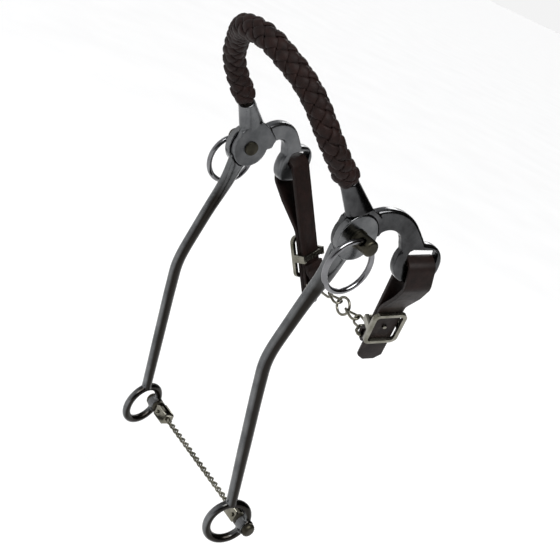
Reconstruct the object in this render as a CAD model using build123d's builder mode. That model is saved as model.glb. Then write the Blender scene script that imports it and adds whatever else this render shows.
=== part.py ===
"""Mechanical bitless hackamore.

Frame: +X to the horse's left, +Y to the rear, +Z up, with the shanks hanging straight down.
The origin is midway between the two cheek pivots, where the muzzle passes through.
Every left-hand piece is built once and mirrored in the YZ plane for the right-hand side.
All sizes are in millimetres and degrees.
"""

from build123d import *
import os
from math import cos, radians, sin, tan

os.makedirs("parts", exist_ok=True)

# ---------------------------------------------------------------- driving dimensions
# cheeks
pivot_half_span = 53.8         # plane of symmetry to the lap joint of each cheek
lap_gap = 0.3                  # running gap between the two lapped discs
inner_disc_radius = 12.0       # disc of the cheek arm, on the inside
inner_disc_thickness = 3.8
outer_disc_radius = 13.5       # disc of the shank, on the outside
outer_disc_thickness = 4.2
shoulder_clearance = 0.35      # radial gap from the shank's disc to the arm's shoulder
pivot_hole_radius = 2.9
pivot_pin_radius = 2.85

# cheek arm: hub, goose neck, curb slot and noseband socket
arm_yaw = 12.0                 # goose necks spread outwards to clear the jaw
arm_yaw_start = 8.0            # distance behind the pivot where that spread begins
arm_thickness = 6.4
arm_edge_radius = 1.9
slot_plate_centre = (48.0, -6.5)
slot_plate_size = (30.0, 25.0)
slot_hole_centre = (48.6, -2.6)
slot_hole_size = (19.4, 10.4)
slot_corner_radius = 3.6
slot_tilt = 13.0               # the slot's rear end stands higher
socket_length = 18.0
socket_mouth_radius = 5.0
socket_base_half_width = 8.2
socket_base_half_thickness = 4.5
socket_bore_radius = 3.7
socket_bore_depth = 14.0

# shank and rein loop
shank_yaw = 10.0
rod_half_thickness = 3.1
rod_stations = [               # behind the pivot, height, half width; the first and last only aim
    (0.0, 8.0, 9.0),
    (-1.2, -6.0, 8.6),
    (-4.2, -22.0, 6.0),
    (-7.4, -38.0, 4.9),
    (-10.7, -54.0, 4.4),
    (-13.2, -68.0, 4.2),
    (-14.5, -80.0, 4.1),
    (-12.8, -92.0, 4.0),
    (-9.5, -106.0, 3.9),
    (-5.5, -122.0, 3.8),
    (-1.5, -138.0, 3.7),
    (2.5, -154.0, 3.5),
    (6.5, -170.0, 3.3),
    (8.6, -178.4, 3.2),
    (11.0, -188.0, 3.2),
]
rein_loop_centre = (11.6, -190.3)
rein_loop_radius = 12.75       # to the centre of the rod
rein_loop_rod_radius = 2.5
boss_radius = 4.6
boss_half_length = 3.2
boss_drop = 2.0                # below the loop's centre

# pivot stud and headstall ring
stud_flange_radius = 5.2
stud_flange_thickness = 1.4
stud_post_radius = 4.7
stud_post_end = 16.6           # outwards from the lap joint
stud_hole_radius = 2.6
ring_seat = 0.55               # the ring bears on the top of the hole
ring_offset = 11.4             # cross hole, outwards from the lap joint
ring_radius = 15.0
ring_wire_radius = 1.6
ring_angles = {"left": -20.0, "right": 6.0}   # how each ring hangs, about its stud

# noseband
braid_radius = 6.2
core_radius = 2.75
core_end_radius = 3.6          # swaged end inside the socket
braid_gap = 0.1
braid_start = 3.0              # bare core between socket and braid

# curb straps
strap_width = 16.0
strap_thickness = 2.4
strap_origin = (62.4, 48.8, -7.6)     # top of the slot's lower bar
strap_down = (-0.30, 0.41, -0.86)
strap_across = (0.31, 0.89, 0.34)
base_layer = -5.3              # mid-planes of the two strap layers below the loop
billet_layer = -2.6
fold_level = -79.0             # fold that holds the chain's dee
fold_depth = 5.4               # between the two walls of the fold, at mid-thickness
fold_tail_step = 2.7           # turned-back tail behind the base layer
tip_level = -96.5
buckle_top = -47.0
buckle_height = 28.5
buckle_inner_width = 16.8
buckle_wire = 2.4

# curb chain
link_wire_radius = 0.85
link_half_length = 5.6         # to the wire's centre
link_half_width = 3.15
dee_wire_radius = 1.0
centre_ring_radius = 5.6
centre_ring_wire_radius = 0.9
chain_play = 0.15

# shank chain
swivel_stem_radius = 1.95
button_radius = 4.2
button_height = 3.2
collar_radius = 4.4            # inner head of the swivel
collar_height = 2.4
eye_hole_radius = 1.25
clevis_pin_radius = 1.1
clevis_pin_half_length = 4.3
clevis_width = 7.2
clevis_plate = 1.1
clevis_half_gap = 2.3
chain_radius = 1.2

# ---------------------------------------------------------------- planes
cheek = Plane(origin=(pivot_half_span, 0, 0), x_dir=(0, 1, 0), z_dir=(1, 0, 0))


def turned_cheek(yaw, start):
    """Plane of a cheek turned outwards by yaw about an upright line start behind the pivot."""
    rear = Vector(sin(radians(yaw)), cos(radians(yaw)), 0)
    outward = Vector(cos(radians(yaw)), -sin(radians(yaw)), 0)
    hinge = Vector(pivot_half_span, start, 0)
    return Plane(origin=hinge - rear * start, x_dir=rear, z_dir=outward)


arm_plane = turned_cheek(arm_yaw, arm_yaw_start)
shank_plane = turned_cheek(shank_yaw, 0)


def save(part, name):
    """Label one piece and write its STEP file."""
    part.label = name
    export_step(part, f"parts/{name}.step")
    print(f"{name}: {part.volume:.1f} mm3")


def save_pair(part, name):
    """Write a left-hand piece and its mirror image."""
    save(part, f"left_{name}")
    save(mirror(part, about=Plane.YZ), f"right_{name}")


# ---------------------------------------------------------------- cheek arm
socket_mouth = cheek.from_local_coords(Vector(-17.2, 26.6, -3.1))
socket_root = cheek.from_local_coords(Vector(-4.8, 13.6, 0.2))
socket_axis = (socket_mouth - socket_root).normalized()
socket_side = Vector(0, 0.72, 0.69)
lap_radius = outer_disc_radius + shoulder_clearance

with BuildPart() as goose_neck:
    with BuildSketch(arm_plane.offset(-arm_thickness / 2)):
        with BuildLine():
            rise = ThreePointArc((4.5, 13.5), (20.6, 19.8), (36.5, 14.5))
            crest = TangentArc(rise @ 1, (48.5, 3.5), tangent=rise % 1)
            Polyline(crest @ 1, (50, -4), (35.4, -4), (32.0, 1.6))
            throat = ThreePointArc((32.0, 1.6), (23.2, 8.0), (14.4, 2.2))
            Polyline(throat @ 1, (10, 4), rise @ 0)
        make_face()
        with Locations(slot_plate_centre):
            RectangleRounded(*slot_plate_size, radius=11.8, rotation=slot_tilt / 2)
    extrude(amount=arm_thickness)
    fillet(goose_neck.faces().filter_by(arm_plane).edges(), arm_edge_radius)
    with BuildSketch(arm_plane.offset(-arm_thickness / 2)):
        with Locations(slot_hole_centre):
            RectangleRounded(*slot_hole_size, radius=slot_corner_radius, rotation=slot_tilt)
    extrude(amount=arm_thickness, mode=Mode.SUBTRACT)

with BuildPart() as socket:
    mouth_plane = Plane(origin=socket_mouth, x_dir=socket_side, z_dir=socket_axis)
    with BuildSketch(mouth_plane):
        Circle(socket_mouth_radius)
    with BuildSketch(mouth_plane.offset(-socket_length * 0.45)):
        Ellipse(6.2, 4.9)
    with BuildSketch(mouth_plane.offset(-socket_length * 1.15)):
        Ellipse(socket_base_half_width, socket_base_half_thickness)
    loft()

with BuildPart() as left_arm:
    with BuildSketch(cheek.offset(-lap_gap / 2 - inner_disc_thickness)):
        Circle(inner_disc_radius)
    extrude(amount=inner_disc_thickness)
    with BuildSketch(cheek.offset(-lap_gap / 2 - inner_disc_thickness)):
        with BuildLine():
            Polyline((11.8, 1.5), (15.0, 3.0), (15.8, 9.0), (7.0, 15.4), (1.5, 17.5))
            Polyline((1.5, 17.5), (-6.0, 14.5), (-11.0, 8.0), (-11.4, 3.0), (11.8, 1.5))
        make_face()
    extrude(amount=inner_disc_thickness + outer_disc_thickness)
    add(socket.part)
    add(goose_neck.part)
    with BuildSketch(cheek.offset(-lap_gap / 2)):
        Circle(lap_radius)
    extrude(amount=20, mode=Mode.SUBTRACT)
    with BuildSketch(mouth_plane):
        Circle(socket_bore_radius)
    extrude(amount=-socket_bore_depth, mode=Mode.SUBTRACT)
    with BuildSketch(cheek.offset(-20)):
        Circle(pivot_hole_radius)
    extrude(amount=40, mode=Mode.SUBTRACT)

save_pair(left_arm.part, "cheek_arm")

# ---------------------------------------------------------------- shank
boss_place = (rein_loop_centre[0] + rein_loop_radius, rein_loop_centre[1] - boss_drop)
boss_centre = shank_plane.from_local_coords(Vector(*boss_place, 0))
boss_plane = Plane(origin=boss_centre, x_dir=(0, 1, 0), z_dir=(1, 0, 0))

with BuildPart() as rod:
    for before, station, after in zip(rod_stations, rod_stations[1:], rod_stations[2:]):
        rear, height, half_width = station
        heading = Vector(after[0] - before[0], after[1] - before[1], 0).normalized()
        along = shank_plane.x_dir * heading.X + Vector(0, 0, heading.Y)
        centre = shank_plane.from_local_coords(Vector(rear, height, 0))
        with BuildSketch(Plane(origin=centre, x_dir=along.cross(shank_plane.z_dir), z_dir=along)):
            Ellipse(half_width, rod_half_thickness)
    loft()

with BuildPart() as left_shank:
    add(rod.part)
    with BuildSketch(cheek.offset(lap_gap / 2)):
        Circle(inner_disc_radius + shoulder_clearance)
    extrude(amount=-20, mode=Mode.SUBTRACT)
    with BuildSketch(cheek.offset(lap_gap / 2)):
        Circle(outer_disc_radius)
    extrude(amount=outer_disc_thickness)
    loop_centre = shank_plane.from_local_coords(Vector(*rein_loop_centre, 0))
    loop_plane = Plane(origin=loop_centre, x_dir=shank_plane.x_dir, z_dir=shank_plane.z_dir)
    with Locations(loop_plane.location):
        Torus(rein_loop_radius, rein_loop_rod_radius)
    with BuildSketch(boss_plane.offset(-boss_half_length)):
        Circle(boss_radius)
    extrude(amount=2 * boss_half_length)
    with BuildSketch(boss_plane.offset(-10)):
        Circle(swivel_stem_radius + 0.1)
    extrude(amount=20, mode=Mode.SUBTRACT)
    with BuildSketch(cheek.offset(-20)):
        Circle(pivot_hole_radius)
    extrude(amount=40, mode=Mode.SUBTRACT)

save_pair(left_shank.part, "shank")

# ---------------------------------------------------------------- pivot studs and headstall rings
inner_face = -lap_gap / 2 - inner_disc_thickness
outer_face = lap_gap / 2 + outer_disc_thickness
head_gap = 0.1

for side, angle in ring_angles.items():
    hang = Vector(0, sin(radians(angle)), -cos(radians(angle)))
    hole_dir = Vector(0, cos(radians(angle)), sin(radians(angle)))
    hole_centre = Vector(pivot_half_span + ring_offset, 0, 0)
    with BuildPart() as stud:
        with BuildSketch(cheek.offset(inner_face - head_gap - 1.3)):
            Circle(4.2)
        extrude(amount=1.3, taper=-12)
        with BuildSketch(cheek.offset(inner_face - head_gap)):
            Circle(pivot_pin_radius)
        extrude(amount=outer_face - inner_face + 2 * head_gap)
        with BuildSketch(cheek.offset(outer_face + head_gap)):
            Circle(stud_flange_radius)
        extrude(amount=stud_flange_thickness)
        with BuildSketch(cheek.offset(outer_face + head_gap + stud_flange_thickness)):
            Circle(stud_post_radius)
        extrude(amount=stud_post_end - outer_face - head_gap - stud_flange_thickness)
        fillet(stud.faces().sort_by(Axis.X)[-1].edges(), 1.6)
        with BuildSketch(Plane(origin=hole_centre, z_dir=hole_dir)):
            Circle(stud_hole_radius)
        extrude(amount=10, both=True, mode=Mode.SUBTRACT)
    with BuildPart() as ring:
        ring_centre = hole_centre + hang * (ring_radius - ring_seat)
        with Locations(Plane(origin=ring_centre, z_dir=(1, 0, 0)).location):
            Torus(ring_radius, ring_wire_radius)
    if side == "left":
        save(stud.part, "left_pivot_stud")
        save(ring.part, "left_headstall_ring")
    else:
        save(mirror(stud.part, about=Plane.YZ), "right_pivot_stud")
        save(mirror(ring.part, about=Plane.YZ), "right_headstall_ring")

# ---------------------------------------------------------------- noseband
route = [
    socket_mouth,
    Vector(56.3, -44.1, 44.0),
    Vector(37.9, -56.4, 64.6),
    Vector(10.4, -70.9, 77.0),
    Vector(-10.2, -71.4, 75.4),
    Vector(-32.5, -55.8, 67.6),
    Vector(-49.9, -40.5, 49.0),
    Vector(-socket_mouth.X, socket_mouth.Y, socket_mouth.Z),
]


def corner_radii(points):
    """Largest tangent arc for each corner: 0.45 of the shorter run over tan of half the turn."""
    radii = []
    for before, corner, after in zip(points, points[1:], points[2:]):
        run_in = corner - before
        run_out = after - corner
        turn = radians(run_in.get_angle(run_out))
        radii.append(0.45 * min(run_in.length, run_out.length) / tan(turn / 2))
    return radii


nose_radii = corner_radii(route)
print("noseband bend radii:", [round(r, 1) for r in nose_radii])
first_leg = (route[1] - route[0]).normalized()
braid_route = [route[0] + first_leg * braid_start] + route[1:-1]
last_leg = (route[-2] - route[-1]).normalized()
braid_route.append(route[-1] + last_leg * braid_start)

with BuildPart() as nose_braid:
    with BuildLine():
        FilletPolyline(*braid_route, radius=nose_radii)
    with BuildSketch(Plane(origin=braid_route[0], z_dir=first_leg)):
        Circle(braid_radius)
        Circle(core_radius + braid_gap, mode=Mode.SUBTRACT)
    sweep()

with BuildPart() as nose_core:
    with BuildLine():
        FilletPolyline(*route, radius=nose_radii)
    with BuildSketch(Plane(origin=route[0], z_dir=first_leg)):
        Circle(core_radius)
    sweep()
    with BuildSketch(mouth_plane):
        Circle(core_end_radius)
    with BuildSketch(Plane(origin=route[-1], z_dir=Vector(-socket_axis.X, socket_axis.Y, socket_axis.Z))):
        Circle(core_end_radius)
    extrude(amount=-(socket_bore_depth - 0.4))

save(nose_braid.part, "nose_braid")
save(nose_core.part, "nose_core")

# ---------------------------------------------------------------- curb straps
down = Vector(*strap_down).normalized()
across = Vector(*strap_across)
across = (across - down * across.dot(down)).normalized()
outward = down.cross(across)
strap_plane = Plane(origin=strap_origin, x_dir=across, z_dir=outward)
profile_plane = Plane(origin=strap_origin, x_dir=outward, z_dir=-across)

with BuildPart() as left_strap:
    with BuildSketch(profile_plane):
        with BuildLine():
            strip = FilletPolyline(
                (base_layer - fold_tail_step, fold_level + 13.0),
                (base_layer - fold_tail_step, fold_level + 8.0),
                (base_layer - fold_depth, fold_level + 4.0),
                (base_layer - fold_depth, fold_level - fold_depth / 2),
                (base_layer, fold_level - fold_depth / 2),
                (base_layer, 0.0),
                (base_layer + 3.4, 4.6),
                (5.6, 4.6),
                (10.2, -9.0),
                (6.0, -23.0),
                (billet_layer, buckle_top + 4),
                (billet_layer, tip_level),
                radius=[3, 3, 2.6, 2.6, 3.2, 3.2, 4, 8, 14, 18],
            )
        trace(strip, line_width=strap_thickness)
    extrude(amount=strap_width / 2, both=True)
    with BuildSketch(strap_plane.offset(-12)):
        with Locations((0, buckle_top - buckle_height / 2)):
            Circle(1.5)
    extrude(amount=16, mode=Mode.SUBTRACT)
    tip_edges = left_strap.edges().filter_by(
        lambda e: abs(e.length - strap_thickness) < 0.01
        and (strap_plane.to_local_coords(e.center())).Y < tip_level + 0.5
    )
    chamfer(tip_edges, 4.2)

save_pair(left_strap.part, "curb_strap")

# buckle: a frame over the strap, with a fixed bar and tongue behind it
with BuildPart() as left_buckle:
    buckle_centre = (0, buckle_top - buckle_height / 2)
    front = billet_layer + strap_thickness / 2 + 0.2
    back = base_layer - strap_thickness / 2 - 0.2
    outer_width = buckle_inner_width + 2 * buckle_wire
    with BuildSketch(strap_plane.offset(front)):
        with Locations(buckle_centre):
            RectangleRounded(outer_width, buckle_height, 4.5)
            RectangleRounded(buckle_inner_width, buckle_height - 2 * buckle_wire, 2.4, mode=Mode.SUBTRACT)
    extrude(amount=buckle_wire)
    with BuildSketch(strap_plane.offset(back - buckle_wire)):
        with Locations((-(buckle_inner_width + buckle_wire) / 2, buckle_centre[1])):
            Rectangle(buckle_wire, 5)
        with Locations(((buckle_inner_width + buckle_wire) / 2, buckle_centre[1])):
            Rectangle(buckle_wire, 5)
    extrude(amount=front - back + 1.5 * buckle_wire)
    with BuildSketch(strap_plane.offset(back - buckle_wire)):
        with Locations(buckle_centre):
            Rectangle(outer_width - 0.2, 3.4)
    extrude(amount=buckle_wire)
    with BuildSketch(strap_plane.offset(back - buckle_wire / 2)):
        with Locations(buckle_centre):
            Circle(1.2)
    extrude(amount=front - back + buckle_wire / 2 + 1.0)

save_pair(left_buckle.part, "curb_buckle")

# ---------------------------------------------------------------- curb chain
fold_centre = strap_plane.from_local_coords(Vector(0, fold_level, base_layer - fold_depth / 2))
link_step = 2 * link_half_length - 2 * link_wire_radius - chain_play
first_link_x = centre_ring_radius - centre_ring_wire_radius - link_wire_radius - chain_play
first_link_x += link_half_length
second_link_x = first_link_x + link_step
dee_apex_x = second_link_x + link_half_length - link_wire_radius - dee_wire_radius - chain_play
dee_apex = Vector(dee_apex_x, fold_centre.Y, fold_centre.Z)
dee_reach = dee_apex - fold_centre
dee_depth_dir = (dee_reach - across * dee_reach.dot(across)).normalized()
dee_plane = Plane(origin=fold_centre, x_dir=across, z_dir=across.cross(dee_depth_dir))
apex_local = dee_plane.to_local_coords(dee_apex)
dee_half_width = strap_width / 2 + 1.5
dee_leg = 4.4                  # straight part of each leg, clear of the leather

with BuildPart() as left_dee:
    with BuildLine(dee_plane):
        triangle = FilletPolyline(
            (dee_half_width, 0),
            (dee_half_width, dee_leg),
            (apex_local.X + 3.2, apex_local.Y),
            (apex_local.X - 3.2, apex_local.Y),
            (-dee_half_width, dee_leg),
            (-dee_half_width, 0),
            radius=1.3,
            close=True,
        )
    with BuildSketch(Plane(origin=triangle @ 0, z_dir=triangle % 0)):
        Circle(dee_wire_radius)
    sweep()

save_pair(left_dee.part, "curb_dee")


def link_solid(centre, turn):
    """One stadium-shaped wire link lying along X, turned about X."""
    frame = Plane(origin=centre, x_dir=(1, 0, 0), z_dir=(0, -sin(radians(turn)), cos(radians(turn))))
    straight = link_half_length - link_half_width
    with BuildPart() as link:
        with BuildLine(frame):
            Line((-straight, link_half_width), (straight, link_half_width))
            CenterArc((straight, 0), link_half_width, 90, -180)
            Line((straight, -link_half_width), (-straight, -link_half_width))
            CenterArc((-straight, 0), link_half_width, 270, -180)
        wire = link.pending_edges[0]
        with BuildSketch(Plane(origin=wire @ 0, z_dir=wire % 0)):
            Circle(link_wire_radius)
        sweep()
    return link.part


chain_y = fold_centre.Y
chain_z = fold_centre.Z
with BuildPart() as left_links:
    add(link_solid((first_link_x, chain_y, chain_z), 0))
    add(link_solid((second_link_x, chain_y, chain_z), 90))
save_pair(left_links.part, "curb_links")

with BuildPart() as centre_ring:
    with Locations(Plane(origin=(0, chain_y, chain_z), z_dir=(0, 1, 0)).location):
        Torus(centre_ring_radius, centre_ring_wire_radius)
save(centre_ring.part, "curb_centre_ring")

# ---------------------------------------------------------------- shank chain and its swivels
eye_inset = 9.0                # eye hole, inwards from the boss centre
with BuildPart() as left_swivel:
    with BuildSketch(boss_plane.offset(boss_half_length + 0.1)):
        Circle(button_radius)
    extrude(amount=button_height)
    fillet(left_swivel.faces().sort_by(Axis.X)[-1].edges(), 2.2)
    with BuildSketch(boss_plane.offset(-boss_half_length - 0.2)):
        Circle(swivel_stem_radius)
    extrude(amount=2 * boss_half_length + 0.4)
    with BuildSketch(boss_plane.offset(-boss_half_length - 0.1 - collar_height)):
        Circle(collar_radius)
    extrude(amount=collar_height)
    with BuildSketch(boss_plane.offset(-eye_inset - 2.8)):
        Rectangle(2.8, 5.0)
    extrude(amount=eye_inset + 2.8 - boss_half_length - 0.8)
    eye_plane = Plane(origin=boss_centre - Vector(eye_inset, 0, 0), x_dir=(1, 0, 0), z_dir=(0, 1, 0))
    with BuildSketch(eye_plane):
        Circle(eye_hole_radius)
    extrude(amount=6, both=True, mode=Mode.SUBTRACT)
save_pair(left_swivel.part, "rein_swivel")

with BuildPart() as left_clevis:
    side_offset = clevis_half_gap + clevis_plate / 2
    clevis_length = 9.0
    for lean in (-1, 1):
        with BuildSketch(eye_plane.offset(lean * side_offset - clevis_plate / 2)):
            with Locations((-clevis_length / 2 + 1.5, 0)):
                RectangleRounded(clevis_length + 3.0, clevis_width, 1.2)
            Circle(clevis_pin_radius + 0.05, mode=Mode.SUBTRACT)
        extrude(amount=clevis_plate)
    with Locations(eye_plane.origin - Vector(clevis_length - 0.6, 0, 0)):
        Box(clevis_plate + 0.6, 2 * (clevis_half_gap + clevis_plate), clevis_width - 1.6)
save_pair(left_clevis.part, "chain_clevis")

with BuildPart() as left_pin:
    with BuildSketch(eye_plane):
        Circle(clevis_pin_radius)
    extrude(amount=clevis_pin_half_length, both=True)
save_pair(left_pin.part, "clevis_pin")

chain_end = eye_plane.origin.X - clevis_length + 0.6 - (clevis_plate + 0.6) / 2 - 0.1
with BuildPart() as shank_chain:
    with BuildSketch(Plane(origin=(-chain_end, boss_centre.Y, boss_centre.Z), z_dir=(1, 0, 0))):
        Circle(chain_radius)
    extrude(amount=2 * chain_end)
save(shank_chain.part, "shank_chain")

# ---------------------------------------------------------------- reference values
print("boss centre", boss_centre, "fold centre", fold_centre, "chain x end", chain_end)
print("dee apex x", dee_apex_x, "across", across, "down", down, "outward", outward)
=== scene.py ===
"""Looks of the mechanical bitless hackamore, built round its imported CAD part."""
from math import atan2, cos, pi, radians, sin, tan

import bmesh
import bpy
import numpy as np
from mathutils import Matrix, Vector


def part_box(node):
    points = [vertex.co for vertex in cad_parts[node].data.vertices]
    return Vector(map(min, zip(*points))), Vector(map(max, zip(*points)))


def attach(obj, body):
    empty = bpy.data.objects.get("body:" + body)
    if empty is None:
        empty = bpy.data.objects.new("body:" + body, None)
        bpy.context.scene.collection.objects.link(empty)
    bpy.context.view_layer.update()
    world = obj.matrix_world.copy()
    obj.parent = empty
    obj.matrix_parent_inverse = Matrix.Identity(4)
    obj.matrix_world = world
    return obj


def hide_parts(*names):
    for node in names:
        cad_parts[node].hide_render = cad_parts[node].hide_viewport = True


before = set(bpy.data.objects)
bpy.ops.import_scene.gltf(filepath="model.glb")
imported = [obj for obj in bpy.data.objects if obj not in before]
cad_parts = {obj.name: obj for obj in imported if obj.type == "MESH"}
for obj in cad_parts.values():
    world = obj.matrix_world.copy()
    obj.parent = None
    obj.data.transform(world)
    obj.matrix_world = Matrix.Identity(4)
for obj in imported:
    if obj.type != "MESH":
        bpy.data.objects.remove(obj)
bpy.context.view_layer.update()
MM = 0.001


# ---------------------------------------------------------------- materials
def material(name, base, metallic, roughness):
    """A node material with a Principled shader whose inputs hold the given numbers."""
    mat = bpy.data.materials.new(name)
    mat.use_nodes = True
    shader = mat.node_tree.nodes["Principled BSDF"]
    shader.inputs["Base Color"].default_value = (*base, 1.0)
    shader.inputs["Metallic"].default_value = metallic
    shader.inputs["Roughness"].default_value = roughness
    return mat, mat.node_tree, shader


def noise(tree, scale, detail=4.0, rough=0.55, stretch=(1, 1, 1)):
    """Noise over object coordinates, at the given scale per metre."""
    coords = tree.nodes.new("ShaderNodeTexCoord")
    mapping = tree.nodes.new("ShaderNodeMapping")
    mapping.inputs["Scale"].default_value = stretch
    tex = tree.nodes.new("ShaderNodeTexNoise")
    tex.inputs["Scale"].default_value = scale
    tex.inputs["Detail"].default_value = detail
    tex.inputs["Roughness"].default_value = rough
    tree.links.new(coords.outputs["Object"], mapping.inputs["Vector"])
    tree.links.new(mapping.outputs["Vector"], tex.inputs["Vector"])
    return tex.outputs["Fac"]


def ramp(tree, source, stops):
    """Colour ramp of (position, colour) stops over a factor."""
    node = tree.nodes.new("ShaderNodeValToRGB")
    elements = node.color_ramp.elements
    while len(elements) < len(stops):
        elements.new(0.5)
    for element, (position, colour) in zip(elements, stops):
        element.position = position
        element.color = (*colour, 1.0)
    tree.links.new(source, node.inputs["Fac"])
    return node.outputs["Color"]


def remap(tree, source, low, high, start=0.0, end=1.0):
    """Linear map of start to end onto low to high, held at the ends."""
    node = tree.nodes.new("ShaderNodeMapRange")
    node.inputs["From Min"].default_value = start
    node.inputs["From Max"].default_value = end
    node.inputs["To Min"].default_value = low
    node.inputs["To Max"].default_value = high
    tree.links.new(source, node.inputs["Value"])
    return node.outputs["Result"]


def bump(tree, shader, height, strength, distance, below=None):
    """Bump from a height, optionally on top of another bump."""
    node = tree.nodes.new("ShaderNodeBump")
    node.inputs["Strength"].default_value = strength
    node.inputs["Distance"].default_value = distance
    tree.links.new(height, node.inputs["Height"])
    if below is not None:
        tree.links.new(below, node.inputs["Normal"])
    tree.links.new(node.outputs["Normal"], shader.inputs["Normal"])
    return node.outputs["Normal"]


def metal(name, dark, light, rough_low, rough_high, wave=0.25, grain=0.05, painted_dark_reflection=None):
    """Polished metal: cloudy tone, uneven polish, slow casting waves and fine scratches.

    The last argument is (colour, normal Y where it starts, normal Y where it is full, height
    below which it is full): painted dark reflection, darkening faces by direction and height.
    """
    mat, tree, shader = material(name, light, 1.0, rough_low)
    cloud = noise(tree, 90.0, 5.0, 0.6)
    tone = ramp(tree, cloud, [(0.32, dark), (0.68, light)])
    # Painted dark reflection: base colour darkened by the face's normal direction and its height.
    if painted_dark_reflection is not None:
        colour, starts, full, height = painted_dark_reflection
        coords = tree.nodes.new("ShaderNodeTexCoord")
        facing = tree.nodes.new("ShaderNodeSeparateXYZ")
        tree.links.new(coords.outputs["Normal"], facing.inputs["Vector"])
        rearward = remap(tree, facing.outputs["Y"], 0.0, 1.0, starts, full)
        spot = tree.nodes.new("ShaderNodeSeparateXYZ")
        tree.links.new(coords.outputs["Object"], spot.inputs["Vector"])
        lower = remap(tree, spot.outputs["Z"], 0.0, 1.0, height + 0.02, height)
        painted_dark_mask = tree.nodes.new("ShaderNodeMath")
        painted_dark_mask.operation = "MULTIPLY"
        tree.links.new(rearward, painted_dark_mask.inputs[0])
        tree.links.new(lower, painted_dark_mask.inputs[1])
        mix = tree.nodes.new("ShaderNodeMix")
        mix.data_type = "RGBA"
        tree.links.new(painted_dark_mask.outputs["Value"], mix.inputs["Factor"])
        tree.links.new(tone, mix.inputs[6])
        mix.inputs[7].default_value = (*colour, 1.0)
        tone = mix.outputs[2]
    tree.links.new(tone, shader.inputs["Base Color"])
    polish = noise(tree, 240.0, 6.0, 0.65)
    tree.links.new(remap(tree, polish, rough_low, rough_high), shader.inputs["Roughness"])
    slow = bump(tree, shader, noise(tree, 70.0, 2.0, 0.5), wave, 0.0010)
    bump(tree, shader, noise(tree, 1500.0, 3.0, 0.6, (1, 1, 0.15)), grain, 0.0002, slow)
    return mat


def leather(name, dark, light, roughness, grain_scale, grain, crease=0.35):
    """Oiled leather: mottled colour, pebbled grain and soft creases."""
    mat, tree, shader = material(name, light, 0.0, roughness)
    shader.inputs["Specular IOR Level"].default_value = 0.16
    mottled = noise(tree, 160.0, 6.0, 0.7)
    tree.links.new(ramp(tree, mottled, [(0.3, dark), (0.7, light)]), shader.inputs["Base Color"])
    uneven = remap(tree, mottled, roughness + 0.12, roughness - 0.12)
    tree.links.new(uneven, shader.inputs["Roughness"])
    soft = bump(tree, shader, noise(tree, 260.0, 4.0, 0.6), crease, 0.0006)
    cells = tree.nodes.new("ShaderNodeTexVoronoi")
    cells.inputs["Scale"].default_value = grain_scale
    coords = tree.nodes.new("ShaderNodeTexCoord")
    tree.links.new(coords.outputs["Object"], cells.inputs["Vector"])
    bump(tree, shader, cells.outputs["Distance"], grain, 0.0002, soft)
    return mat


# Painted dark reflection for the shanks: colour, normal Y ramp ends, and the height below which it is
# full.
shank_painted_reflection = ((0.020, 0.018, 0.016), -0.80, -0.45, -0.035)
shank_metal = metal(
    "polished shank", (0.09, 0.093, 0.096), (0.17, 0.173, 0.176), 0.14, 0.28, painted_dark_reflection=shank_painted_reflection
)
# The two cheek arms are one casting; these are a shaded and a lit copy of it, with painted dark
# reflection on the near arm and painted grey reflection on the far arm.
near_arm_painted_dark = metal(
    "polished casting painted dark reflection", (0.030, 0.030, 0.031), (0.080, 0.081, 0.083), 0.12, 0.26
)
far_arm_painted_grey = metal("casting painted grey reflection", (0.085, 0.088, 0.092), (0.145, 0.148, 0.152), 0.22, 0.38)
bright = metal("polished wire", (0.13, 0.13, 0.135), (0.24, 0.24, 0.25), 0.10, 0.22, 0.10)
dull = metal("dull stud", (0.022, 0.020, 0.014), (0.065, 0.060, 0.045), 0.30, 0.52, 0.30)
nickel = metal("nickel plate", (0.10, 0.095, 0.07), (0.26, 0.25, 0.21), 0.16, 0.34, 0.15)
braid_leather = leather(
    "braided leather", (0.0045, 0.0022, 0.0018), (0.017, 0.0062, 0.0046), 0.62, 1500.0, 0.35
)
strap_leather = leather(
    "strap leather", (0.004, 0.0022, 0.0018), (0.013, 0.0055, 0.0042), 0.55, 1700.0, 0.25
)
core_cord = leather("waxed core", (0.004, 0.003, 0.0025), (0.012, 0.009, 0.007), 0.65, 1300.0, 0.4)


# ---------------------------------------------------------------- geometry helpers
def mesh_object(name, verts, faces, mat, smooth=True):
    """A mesh object from millimetre vertices."""
    mesh = bpy.data.meshes.new(name)
    mesh.from_pydata([tuple(c * MM for c in v) for v in verts], [], faces)
    mesh.validate()
    mesh.materials.append(mat)
    if smooth:
        mesh.polygons.foreach_set("use_smooth", [True] * len(mesh.polygons))
    obj = bpy.data.objects.new(name, mesh)
    bpy.context.scene.collection.objects.link(obj)
    return obj


def rounded(points, radii, step):
    """Points along a polyline whose corners are tangent arcs of the given radii."""
    points = [Vector(p) for p in points]
    out = [points[0]]
    for before, corner, after, radius in zip(points, points[1:], points[2:], radii):
        to_before = (before - corner).normalized()
        to_after = (after - corner).normalized()
        turn = pi - to_before.angle(to_after)
        if turn < 1e-4:
            continue
        reach = radius * tan(turn / 2)
        start = corner + to_before * reach
        middle_dir = (to_before + to_after).normalized()
        centre = corner + middle_dir * (radius / cos(turn / 2))
        axis = (start - centre).cross(-to_before).normalized()
        count = max(3, int(radius * turn / step) + 1)
        for k in range(count + 1):
            turned = Matrix.Rotation(turn * k / count, 3, axis) @ (start - centre)
            out.append(centre + turned)
    out.append(points[-1])
    return out


def resample(points, step):
    """Evenly spaced points along a path."""
    pts = np.array([tuple(p) for p in points])
    lengths = np.r_[0, np.cumsum(np.linalg.norm(np.diff(pts, axis=0), axis=1))]
    count = max(2, int(round(lengths[-1] / step)) + 1)
    at = np.linspace(0, lengths[-1], count)
    return np.stack([np.interp(at, lengths, pts[:, k]) for k in range(3)], axis=1), at


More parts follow.
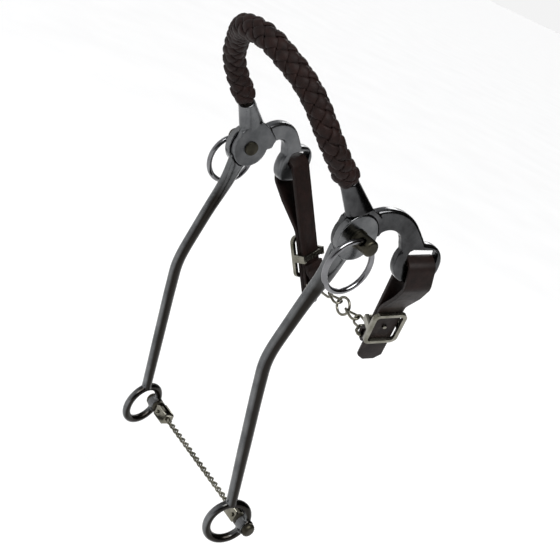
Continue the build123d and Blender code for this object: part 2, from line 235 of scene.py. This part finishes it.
def frames(pts):
    """Tangent, normal and binormal at each point, carried along without twist."""
    tangents = np.gradient(pts, axis=0)
    tangents /= np.linalg.norm(tangents, axis=1)[:, None]
    seed = np.array([0.0, 0.0, 1.0])
    if abs(tangents[0] @ seed) > 0.9:
        seed = np.array([1.0, 0.0, 0.0])
    normal = np.cross(tangents[0], seed)
    normal /= np.linalg.norm(normal)
    normals = []
    for t in tangents:
        normal = normal - t * (normal @ t)
        normal = normal / np.linalg.norm(normal)
        normals.append(normal)
    normals = np.array(normals)
    return tangents, normals, np.cross(tangents, normals)


def tube(name, path, radius, mat, sides=16, closed=False):
    """A round tube along a path. radius is a number or one value per point."""
    pts = np.array([tuple(p) for p in path], float)
    if closed:
        ring = np.vstack([pts[-1:], pts, pts[:1]])
        tangents, normals, binormals = (a[1:-1] for a in frames(ring))
    else:
        tangents, normals, binormals = frames(pts)
    radii = np.broadcast_to(np.asarray(radius, float), (len(pts),))
    verts, faces = [], []
    for p, n, b, r in zip(pts, normals, binormals, radii):
        for k in range(sides):
            a = 2 * pi * k / sides
            verts.append(tuple(p + r * (cos(a) * n + sin(a) * b)))
    rows = len(pts)
    last = rows if closed else rows - 1
    shift = 0
    if closed:
        start = normals[-1] - tangents[0] * (normals[-1] @ tangents[0])
        lag = atan2(start @ binormals[0], start @ normals[0])
        shift = int(round(lag / (2 * pi) * sides))
    for i in range(last):
        j = (i + 1) % rows
        turn = shift if closed and i == rows - 1 else 0
        for k in range(sides):
            l = (k + 1) % sides
            near, far = i * sides, j * sides
            faces.append((near + k, near + l, far + (l + turn) % sides, far + (k + turn) % sides))
    if not closed:
        faces.append(tuple(reversed(range(sides))))
        faces.append(tuple(range((rows - 1) * sides, rows * sides)))
    return mesh_object(name, verts, faces, mat)


def ribbon(name, pts, sideways, outwards, half_width, half_height, mat, dome=0.35):
    """A flat strand with rounded edges along pts; sideways and outwards are unit vectors per point."""
    section = []
    for k in range(12):
        a = 2 * pi * k / 12
        x, y = cos(a), sin(a)
        wide = (abs(x) ** 0.6) * (1 if x >= 0 else -1)
        high = (abs(y) ** 0.75) * (1 if y >= 0 else -1)
        section.append((wide, high + dome * (1 - wide * wide)))
    verts, faces = [], []
    for p, s, o, w, h in zip(pts, sideways, outwards, half_width, half_height):
        for x, y in section:
            verts.append(tuple(p + s * x * w + o * y * h))
    n = len(section)
    for i in range(len(pts) - 1):
        for k in range(n):
            l = (k + 1) % n
            faces.append((i * n + k, (i + 1) * n + k, (i + 1) * n + l, i * n + l))
    faces.append(tuple(range(n)))
    faces.append(tuple(reversed(range((len(pts) - 1) * n, len(pts) * n))))
    return mesh_object(name, verts, faces, mat)


def join(objects, name):
    """Joins mesh objects into one."""
    target = objects[0]
    merged = bmesh.new()
    mats = []
    for obj in objects:
        for mat in obj.data.materials:
            if mat not in mats:
                mats.append(mat)
        offset = mats.index(obj.data.materials[0])
        piece = bmesh.new()
        piece.from_mesh(obj.data)
        for face in piece.faces:
            face.material_index = offset
        temp = bpy.data.meshes.new("temp")
        piece.to_mesh(temp)
        merged.from_mesh(temp)
        piece.free()
        bpy.data.meshes.remove(temp)
    mesh = bpy.data.meshes.new(name)
    merged.to_mesh(mesh)
    merged.free()
    for mat in mats:
        mesh.materials.append(mat)
    for obj in objects:
        bpy.data.objects.remove(obj)
    obj = bpy.data.objects.new(name, mesh)
    bpy.context.scene.collection.objects.link(obj)
    return obj


def copy_of(node, name, mat):
    """A copy of a CAD node's mesh, to be finished in place of it."""
    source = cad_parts[node]
    mesh = source.data.copy()
    mesh.materials.clear()
    mesh.materials.append(mat)
    obj = bpy.data.objects.new(name, mesh)
    bpy.context.scene.collection.objects.link(obj)
    obj.matrix_world = source.matrix_world
    return obj


def apply_modifiers(obj):
    """Bakes an object's modifiers into its mesh."""
    depsgraph = bpy.context.evaluated_depsgraph_get()
    baked = bpy.data.meshes.new_from_object(obj.evaluated_get(depsgraph))
    obj.modifiers.clear()
    obj.data = baked
    return obj


def soften(node, name, mat, voxel, rounds):
    """A casting with every edge rounded: remeshed evenly, then smoothed."""
    obj = copy_of(node, name, mat)
    remesh = obj.modifiers.new("remesh", "REMESH")
    remesh.mode = "VOXEL"
    remesh.voxel_size = voxel * MM
    smooth = obj.modifiers.new("smooth", "SMOOTH")
    smooth.factor = 0.5
    smooth.iterations = rounds
    apply_modifiers(obj)
    obj.data.polygons.foreach_set("use_smooth", [True] * len(obj.data.polygons))
    return obj


def bevelled(node, name, mat, width, segments=3):
    """A CAD piece with its sharp edges broken."""
    obj = copy_of(node, name, mat)
    weld = obj.modifiers.new("weld", "WELD")
    weld.merge_threshold = 0.00001
    bevel = obj.modifiers.new("bevel", "BEVEL")
    bevel.width = width * MM
    bevel.segments = segments
    bevel.limit_method = "ANGLE"
    bevel.angle_limit = radians(35)
    bevel.harden_normals = False
    apply_modifiers(obj)
    obj.data.polygons.foreach_set("use_smooth", [True] * len(obj.data.polygons))
    edge_split = obj.modifiers.new("split", "EDGE_SPLIT")
    edge_split.split_angle = radians(40)
    apply_modifiers(obj)
    return obj


def place(obj, node, body):
    """Stands the object in for a CAD node and fixes it to that node's body."""
    obj.name = obj.name.replace(" ", "_") + "_look"
    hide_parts(node)
    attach(obj, body)


# ---------------------------------------------------------------- castings
for side in ("left", "right"):
    # The near (left) arm takes the copy with painted dark reflection, the far (right) arm the copy
    # with painted grey reflection.
    arm_metal = near_arm_painted_dark if side == "left" else far_arm_painted_grey
    arm = soften(side + "_cheek_arm", side + " cheek arm", arm_metal, 0.42, 5)
    place(arm, side + "_cheek_arm", "noseband_and_cheeks")
    shank = soften(side + "_shank", side + " shank", shank_metal, 0.42, 5)
    place(shank, side + "_shank", side + "_shank_body")
    stud = bevelled(side + "_pivot_stud", side + " pivot stud", dull, 0.25)
    place(stud, side + "_pivot_stud", side + "_stud_body")

# ---------------------------------------------------------------- headstall rings
ring_angle = {"left": -20.0, "right": 6.0}
for side, sign in (("left", 1), ("right", -1)):
    angle = radians(ring_angle[side])
    centre = Vector((sign * 65.2, 0, 0)) + Vector((0, sin(angle), -cos(angle))) * 14.45
    loop = []
    for k in range(96):
        turn = 2 * pi * k / 96
        loop.append(centre + Vector((0, 15.0 * cos(turn), 15.0 * sin(turn))))
    ring = tube(side + " headstall ring", loop, 1.6, bright, 20, closed=True)
    place(ring, side + "_headstall_ring", side + "_ring_body")

# ---------------------------------------------------------------- braided noseband
corners = [
    (50.7, -17.2, 26.6), (56.3, -44.1, 44.0), (37.9, -56.4, 64.6), (10.4, -70.9, 77.0),
    (-10.2, -71.4, 75.4), (-32.5, -55.8, 67.6), (-49.9, -40.5, 49.0), (-50.7, -17.2, 26.6),
]
radii = []
for a, b, c in zip(corners, corners[1:], corners[2:]):
    run_in = Vector(b) - Vector(a)
    run_out = Vector(c) - Vector(b)
    radii.append(0.45 * min(run_in.length, run_out.length) / tan(run_in.angle(run_out) / 2))
nose_path, _ = resample(rounded(corners, radii, 1.0), 0.5)
for _ in range(40):
    nose_path[1:-1] = 0.5 * nose_path[1:-1] + 0.25 * (nose_path[:-2] + nose_path[2:])
nose_path, nose_at = resample(nose_path, 0.5)
bare = 3.0
keep = (nose_at > bare) & (nose_at < nose_at[-1] - bare)
braid_pts, braid_at = nose_path[keep], nose_at[keep] - bare
braid_length = braid_at[-1]
lead = braid_length / round(braid_length / 33.0)
tangents, normals, binormals = frames(braid_pts)
end_gap = np.minimum(braid_at, braid_length - braid_at)
swell = 1.0 + 0.10 * np.exp(-((end_gap - 4.5) / 3.5) ** 2)
closing = np.clip(end_gap / 3.2, 0, 1)
swell = swell * (0.60 + 0.40 * np.sqrt(1 - (1 - closing) ** 2))
strands = []
for turn in (1, -1):
    for k in range(4):
        phi = turn * 2 * pi * braid_at / lead + k * pi / 2
        over = turn * np.cos(8 * pi * braid_at / lead)
        rad = (4.75 + 0.95 * over) * swell
        out = np.cos(phi)[:, None] * normals + np.sin(phi)[:, None] * binormals
        line = braid_pts + out * rad[:, None]
        along = np.gradient(line, axis=0)
        along /= np.linalg.norm(along, axis=1)[:, None]
        across = np.cross(out, along)
        across /= np.linalg.norm(across, axis=1)[:, None]
        up = np.cross(along, across)
        wide = 2.7 * swell
        high = 0.85 * np.ones(len(swell))
        strands.append(ribbon("strand", line, across, up, wide, high, braid_leather))
filler = tube("filler", braid_pts, 4.2 * swell, braid_leather, 32)
strands.append(filler)
braid = join(strands, "braided noseband")
place(braid, "nose_braid", "noseband_and_cheeks")

core = bevelled("nose_core", "noseband core", core_cord, 0.2)
place(core, "nose_core", "noseband_and_cheeks")

# ---------------------------------------------------------------- curb straps, buckles and dees
for side in ("left", "right"):
    strap = bevelled(side + "_curb_strap", side + " curb strap", strap_leather, 0.45)
    place(strap, side + "_curb_strap", "curb_straps_body")
    buckle = bevelled(side + "_curb_buckle", side + " curb buckle", nickel, 0.75, 4)
    place(buckle, side + "_curb_buckle", "curb_straps_body")
    dee = bevelled(side + "_curb_dee", side + " curb dee", nickel, 0.02, 1)
    place(dee, side + "_curb_dee", "curb_straps_body")


# ---------------------------------------------------------------- chains
def twisted_link(name, centre, half_length, half_width, wire, start, twist, mat, sides=12):
    """A stadium link along X whose plane turns by twist degrees from one end to the other."""
    straight = half_length - half_width
    flat = []
    for k in range(12):
        flat.append((-straight + 2 * straight * k / 12, half_width))
    for k in range(12):
        a = pi / 2 - pi * k / 12
        flat.append((straight + half_width * cos(a), half_width * sin(a)))
    for k in range(12):
        flat.append((straight - 2 * straight * k / 12, -half_width))
    for k in range(12):
        a = -pi / 2 - pi * k / 12
        flat.append((-straight + half_width * cos(a), half_width * sin(a)))
    path = []
    for x, w in flat:
        a = radians(start + twist * x / half_length / 2)
        path.append((centre[0] + x, centre[1] + w * cos(a), centre[2] + w * sin(a)))
    return tube(name, path, wire, mat, sides, closed=True)


low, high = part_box("curb_centre_ring")
curb_y = (low[1] + high[1]) / 2 / MM
curb_z = (low[2] + high[2]) / 2 / MM
for side, sign in (("left", 1), ("right", -1)):
    links = [
        twisted_link("link", (sign * 9.3, curb_y, curb_z), 5.6, 3.15, 0.85, 0, 50, nickel),
        twisted_link("link", (sign * 18.65, curb_y, curb_z), 5.6, 3.15, 0.85, 90, 50, nickel),
    ]
    group = join(links, side + " curb links")
    place(group, side + "_curb_links", "curb_chain_body")
loop = []
for k in range(48):
    turn = 2 * pi * k / 48
    loop.append(Vector((5.6 * cos(turn), curb_y, curb_z + 5.6 * sin(turn))))
fly = tube("curb centre ring", loop, 0.9, nickel, 14, closed=True)
place(fly, "curb_centre_ring", "curb_chain_body")

chain_y, chain_z = 23.98, -192.3
chain_half = 39.68
count = 34
pitch = 2 * chain_half / count
fine = []
for k in range(count):
    x = -chain_half + pitch * (k + 0.5)
    fine.append(
        twisted_link(
            "fine link", (x, chain_y, chain_z), pitch * 0.5 + 0.85, 1.45, 0.50,
            90 * (k % 2) + 20, 80, nickel, 8,
        )
    )
fine_chain = join(fine, "shank chain")
place(fine_chain, "shank_chain", "shank_chain_body")
for side in ("left", "right"):
    swivel = bevelled(side + "_rein_swivel", side + " rein swivel", dull, 0.15)
    place(swivel, side + "_rein_swivel", "shank_chain_body")
    clevis = bevelled(side + "_chain_clevis", side + " chain clevis", nickel, 0.2)
    place(clevis, side + "_chain_clevis", "shank_chain_body")
    pin = bevelled(side + "_clevis_pin", side + " clevis pin", nickel, 0.2)
    place(pin, side + "_clevis_pin", "shank_chain_body")

# ---------------------------------------------------------------- floor, light and camera
bpy.ops.mesh.primitive_plane_add(size=400.0, location=(0, 0, -0.32))
floor = bpy.context.object
floor.name = "floor"
floor_mat, floor_tree, floor_shader = material("pale floor", (0.92, 0.92, 0.92), 0.0, 0.9)
pale = ramp(
    floor_tree, noise(floor_tree, 6.0, 2.0), [(0.3, (0.91, 0.91, 0.91)), (0.7, (0.94, 0.94, 0.94))]
)
floor_tree.links.new(pale, floor_shader.inputs["Base Color"])
floor.data.materials.append(floor_mat)

world = bpy.data.worlds.new("studio")
bpy.context.scene.world = world
world.use_nodes = True
sky = world.node_tree
sky_coords = sky.nodes.new("ShaderNodeTexCoord")
sky_turn = sky.nodes.new("ShaderNodeMapping")
sky_turn.inputs["Rotation"].default_value = (0, 0, radians(-46))
sky_split = sky.nodes.new("ShaderNodeSeparateXYZ")
sky.links.new(sky_coords.outputs["Generated"], sky_turn.inputs["Vector"])
sky.links.new(sky_turn.outputs["Vector"], sky_split.inputs["Vector"])
side_light = remap(sky, sky_split.outputs["X"], 0.0, 1.0, -1.0, 1.0)
shades = [
    (0.0, (1.0, 1.0, 1.0)), (0.38, (0.55, 0.56, 0.58)),
    (0.52, (0.05, 0.045, 0.04)), (1.0, (0.02, 0.018, 0.016)),
]
away = remap(sky, sky_split.outputs["Y"], 0.0, 1.0, 0.80, 0.92)
backdrop = sky.nodes.new("ShaderNodeMix")
backdrop.data_type = "RGBA"
sky.links.new(away, backdrop.inputs["Factor"])
sky.links.new(ramp(sky, side_light, shades), backdrop.inputs[6])
backdrop.inputs[7].default_value = (1.0, 1.0, 1.0, 1.0)
sky.links.new(backdrop.outputs[2], sky.nodes["Background"].inputs["Color"])
sky.nodes["Background"].inputs["Strength"].default_value = 0.9
sun_data = bpy.data.lights.new("sun", "SUN")
sun_data.energy = 2.9
sun_data.angle = radians(40)
sun = bpy.data.objects.new("sun", sun_data)
sun.rotation_euler = (radians(28), radians(22), radians(40))
bpy.context.scene.collection.objects.link(sun)
bpy.context.scene.view_settings.view_transform = "Standard"


def softbox(name, place_at, target, size, power):
    """A square area light aimed at a point."""
    data = bpy.data.lights.new(name, "AREA")
    data.size = size
    data.energy = power
    lamp = bpy.data.objects.new(name, data)
    lamp.location = place_at
    lamp.rotation_euler = (Vector(target) - Vector(place_at)).to_track_quat("-Z", "Y").to_euler()
    bpy.context.scene.collection.objects.link(lamp)


softbox("key", (0.7, -0.5, 0.9), (0, 0, -0.05), 0.4, 3.0)
softbox("rim", (-0.6, 0.7, 0.5), (0, 0, -0.05), 0.3, 2.0)

azimuth, elevation, roll = radians(46.2), radians(14.6), radians(25.5)
back = Vector((sin(azimuth) * cos(elevation), -cos(azimuth) * cos(elevation), sin(elevation)))
level_right = Vector((cos(azimuth), sin(azimuth), 0))
level_up = back.cross(level_right)
right = level_right * cos(roll) + level_up * sin(roll)
up = level_up * cos(roll) - level_right * sin(roll)
camera_data = bpy.data.cameras.new("camera")
camera_data.lens = 62.94
camera_data.sensor_width = 36
camera_data.shift_x = -0.0241
camera_data.shift_y = -0.1652
camera_data.clip_start = 0.01
camera_data.clip_end = 1000.0
camera = bpy.data.objects.new("camera", camera_data)
camera_distance = 0.5499
aim_offset = Vector((0, 0.0022, 0.0008))
camera.matrix_world = Matrix.Translation(back * camera_distance - aim_offset) @ Matrix(
    (right, up, back)
).transposed().to_4x4()
bpy.context.scene.collection.objects.link(camera)
bpy.context.scene.camera = camera
